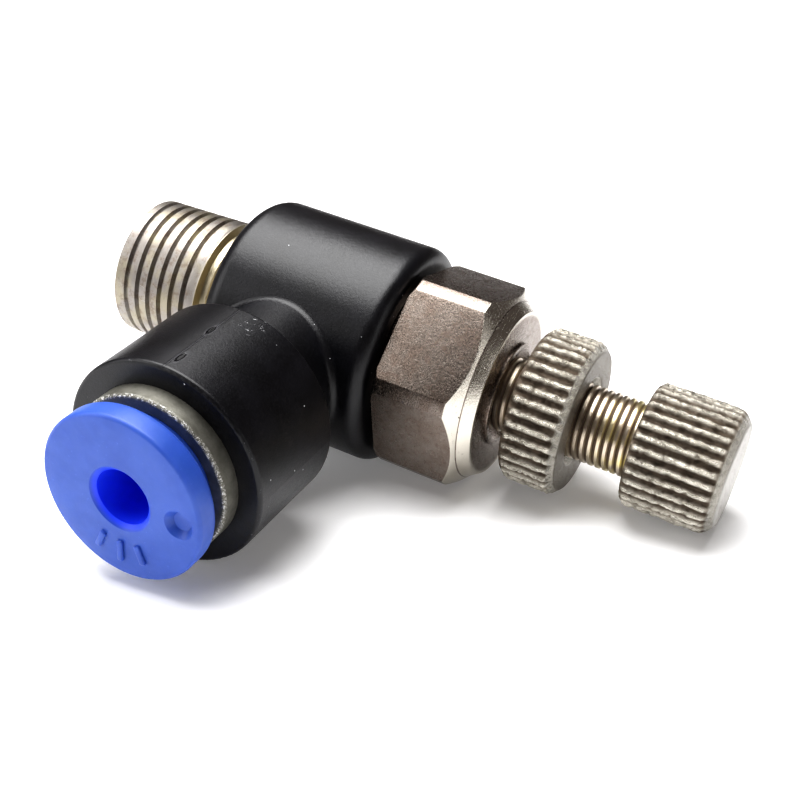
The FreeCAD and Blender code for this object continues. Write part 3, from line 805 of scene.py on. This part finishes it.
def knurled(name, back, front, radius, teeth, back_chamfer, front_chamfer, face_radius, curve, dents):
    """A straight-knurled sleeve, open at both ends, left in edit mode."""
    count = round((front - back - back_chamfer - front_chamfer) / row_height)
    rows = [back]
    rows += [back + back_chamfer + (front - back - back_chamfer - front_chamfer) * row / count
             for row in range(count + 1)]
    rows += [front - front_chamfer + front_chamfer * part for part in (0.3, 0.6, 0.85, 1.0)]
    clear_selection()
    bpy.ops.mesh.primitive_circle_add(vertices=teeth * points_per_tooth, radius=radius,
                                      location=(back, 0, 0), rotation=(0, math.pi / 2, 0))
    bpy.ops.object.transform_apply(location=True, rotation=True, scale=False)
    piece = bpy.context.object
    piece.name = name
    piece.data.name = name
    bpy.ops.object.mode_set(mode="EDIT")
    bpy.ops.mesh.select_all(action="SELECT")
    grow([(row, radius) for row in rows[1:]])
    mesh = bmesh.from_edit_mesh(piece.data)
    for vertex in mesh.verts:
        station = vertex.co.x
        angle = math.atan2(vertex.co.z, vertex.co.y)
        tooth = abs((angle / TURN * teeth) % 1 - 0.5) * 2
        groove = min(max((tooth - 0.12) / 0.76, 0), 1)
        groove = groove * groove * (3 - 2 * groove)
        into_front = min(max((station - front + front_chamfer) / front_chamfer, 0), 1)
        into_back = min(max((back + back_chamfer - station) / back_chamfer, 0), 1)
        blank = radius - (radius - face_radius) * into_front ** curve - back_chamfer * into_back
        spot = vertex.co / MM
        dent = noise.noise(spot * 1.9) * 0.6 + noise.noise(spot * 4.4) * 1.0
        wear = dents * (dent - 0.25 * (1 - groove)) * (1 - into_front) * (1 - into_back)
        filed = min(radius - knurl_depth * groove + min(wear, 0), blank)
        share = filed / math.hypot(vertex.co.y, vertex.co.z)
        vertex.co = (station, vertex.co.y * share, vertex.co.z * share)
    bmesh.update_edit_mesh(piece.data)
    return piece


nut = knurled("lock_nut_knurled", nut_low.x, nut_high.x, nut_radius, nut_teeth, nut_back_chamfer,
              nut_front_chamfer, nut_face_radius, nut_face_curve, dent_depth)
select_loop_at(nut_high.x)
grow([(nut_high.x, nut_face_radius - 0.10 * MM), (nut_high.x, nut_bore + countersink_width),
      (nut_high.x - countersink_depth, nut_bore)])
select_loop_at(nut_low.x)
grow([(nut_low.x, nut_bore + countersink_width), (nut_low.x + countersink_depth, nut_bore)])
select_where(lambda co: abs(math.hypot(co.y, co.z) - nut_bore) < 0.002 * MM)
bpy.ops.mesh.bridge_edge_loops()
close_up()
smoothed(nut, 50)


def tumbled(name, crest, face, face_colour):
    """Tumbled nickel plate on a knurl whose crests are at a radius, and end face at a station."""
    material, place = new_material(name)
    x, y, z = place.parts()
    radius = (y * y + z * z) ** 0.5
    cloud = place.noise(0.8, 3.0)
    fine = place.noise(6.0, 5.0, 0.78)
    grit = place.noise(13.0, 4.0, 0.75)
    chips = place.noise(3.1, 6.0, 0.80).fade(0.54, 0.62)
    on_face = x.fade(face - 0.10, face - 0.02)
    on_rim = x.fade(face - 0.55, face - 0.40)
    groove = (1 - radius.fade(crest - 0.34, crest - 0.03)) * radius.fade(crest - 0.70, crest - 0.45)
    knurl = 1 - x.fade(face - 0.55, face - 0.35)
    # the knurl's grooves and random chips are darkened towards brown
    groove_and_chip_darkening = groove * knurl * (0.60 + fine * 0.7) + chips * 0.35
    bright = cloud.fade(0.35, 0.65).blend(colour(0.64, 0.61, 0.54), colour(0.78, 0.75, 0.67))
    plate = on_face.blend(on_rim.blend(bright, colour(0.44, 0.425, 0.385)), face_colour)
    dull = (grit.fade(0.48, 0.66) * 0.55).blend(plate, colour(0.27, 0.245, 0.20))
    darkened_plate = groove_and_chip_darkening.math("MINIMUM", groove_and_chip_darkening, 0.92).blend(dull, colour(0.13, 0.10, 0.075))
    flecks = fine.fade(0.58, 0.66) * on_face
    finish_material(place, {
        "Base Color": (flecks * 0.6).blend(darkened_plate, colour(0.80, 0.79, 0.75)),
        "Metallic": 1.0, "Roughness": 0.14 + grit * 0.18 + groove_and_chip_darkening * 0.25 + on_face * 0.12,
        "Normal": (fine * (1 + on_face * 0.6) + grit * 0.8 - chips * 0.5).bump(0.070 * MM)})
    return material


coat([nut], tumbled("lock_nut_plate", nut_radius / MM, nut_high.x / MM, colour(0.22, 0.205, 0.185)))
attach(nut, "nut")
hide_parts("lock_nut")

# ------------------------------------------------------------------ adjusting knob
# Straight-knurled brass cap pressed on the screw's spigot, nickel plated and tumbled like the nut,
# with a rounded front edge and a grainy end face.
knob_radius = 4.13 * MM
knob_face_radius = 3.35 * MM
knob_teeth = 32
knob_back_chamfer = 0.30 * MM
knob_front_chamfer = 1.00 * MM
knob_face_curve = 1.9
knob_bore_slack = 0.15 * MM
knob_bore_end = screw_high.x + knob_bore_slack

knob = knurled("knob_knurled", knob_low.x, knob_high.x, knob_radius, knob_teeth, knob_back_chamfer,
               knob_front_chamfer, knob_face_radius, knob_face_curve, dent_depth)
select_loop_at(knob_high.x)
grow([(knob_high.x, knob_face_radius * share) for share in (0.96, 0.8, 0.6, 0.4, 0.2, 0.05)])
bpy.ops.mesh.merge(type="CENTER")
select_loop_at(knob_low.x)
grow([(knob_low.x, spigot_radius + 0.45 * MM), (knob_low.x + 0.25 * MM, spigot_radius),
      (knob_bore_end, spigot_radius), (knob_bore_end, spigot_end_radius)])
bpy.ops.mesh.merge(type="CENTER")
close_up()
smoothed(knob, 50)
coat([knob], tumbled("knob_plate", knob_radius / MM, knob_high.x / MM, colour(0.47, 0.46, 0.44)))
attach(knob, "needle")
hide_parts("knob")

# ------------------------------------------------------------------ seals
# Black nitrile rings: two between the metal and the barrel, one round the spindle, the folding check
# lip on the seat, and the tube's packing.  They are greased.
nitrile, place = new_material("nitrile_rubber")
skin = place.noise(7.0, 4.0)
grease = place.noise(1.5, 3.0).fade(0.45, 0.60)
finish_material(place, {
    "Base Color": skin.blend(colour(0.012, 0.012, 0.013), colour(0.035, 0.034, 0.033)),
    "Roughness": 0.62 - grease * 0.35, "Normal": skin.bump(0.008 * MM)})
coat([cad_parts[name] for name in ("stem_o_ring", "bonnet_o_ring", "needle_o_ring",
                                        "check_seal", "tube_seal")], nitrile)

# ------------------------------------------------------------------ joint gasket
# Pressed fibre ring, nipped between the stem's shoulder and the bonnet's skirt.
fibre, place = new_material("pressed_fibre")
strands = place.stretched(2.0, 12.0, 12.0).noise(1.0, 5.0, 0.7)
finish_material(place, {
    "Base Color": strands.fade(0.3, 0.7).blend(colour(0.30, 0.15, 0.07), colour(0.52, 0.33, 0.19)),
    "Roughness": 0.85, "Normal": strands.bump(0.02 * MM)})
coat([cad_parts["joint_gasket"]], fibre)

# ------------------------------------------------------------------ seat ring
# Bare free-cutting brass, turned and pressed into the stem's flow bore.
brass, place = new_material("bare_turned_brass")
x, y, z = place.parts()
radius = (y * y + z * z) ** 0.5
cuts = place.node("CombineXYZ", {}, {"X": x * 18.0, "Y": radius * 18.0}).noise(1.0, 2.0)
tarnish = place.noise(0.9, 4.0)
finish_material(place, {
    "Base Color": tarnish.fade(0.35, 0.70).blend(colour(0.76, 0.58, 0.28), colour(0.58, 0.40, 0.18)),
    "Metallic": 1.0, "Roughness": 0.22 + tarnish * 0.2, "Normal": cuts.bump(0.010 * MM)})
coat([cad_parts["seat_ring"]], brass)

# ------------------------------------------------------------------ stop clip and claws
# Cold-rolled spring steel: the clip on the spindle and the toothed ring that bites the tube.
steel, place = new_material("spring_steel")
rolling = place.stretched(1.0, 9.0, 9.0).noise(2.0, 4.0, 0.6)
finish_material(place, {
    "Base Color": rolling.blend(colour(0.46, 0.46, 0.47), colour(0.70, 0.70, 0.71)),
    "Metallic": 1.0, "Roughness": 0.24 + rolling * 0.18, "Normal": rolling.bump(0.006 * MM)})
coat([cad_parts["stop_clip"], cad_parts["collet_claws"]], steel)

# ------------------------------------------------------------------ seal spacer
# White acetal cup between the tube's packing and the claws.
acetal, place = new_material("white_acetal")
skin = place.noise(4.0, 4.0)
finish_material(place, {
    "Base Color": skin.blend(colour(0.72, 0.72, 0.68), colour(0.84, 0.84, 0.80)),
    "Roughness": 0.40 + skin * 0.15, "Normal": skin.bump(0.006 * MM)})
coat([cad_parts["seal_spacer"]], acetal)
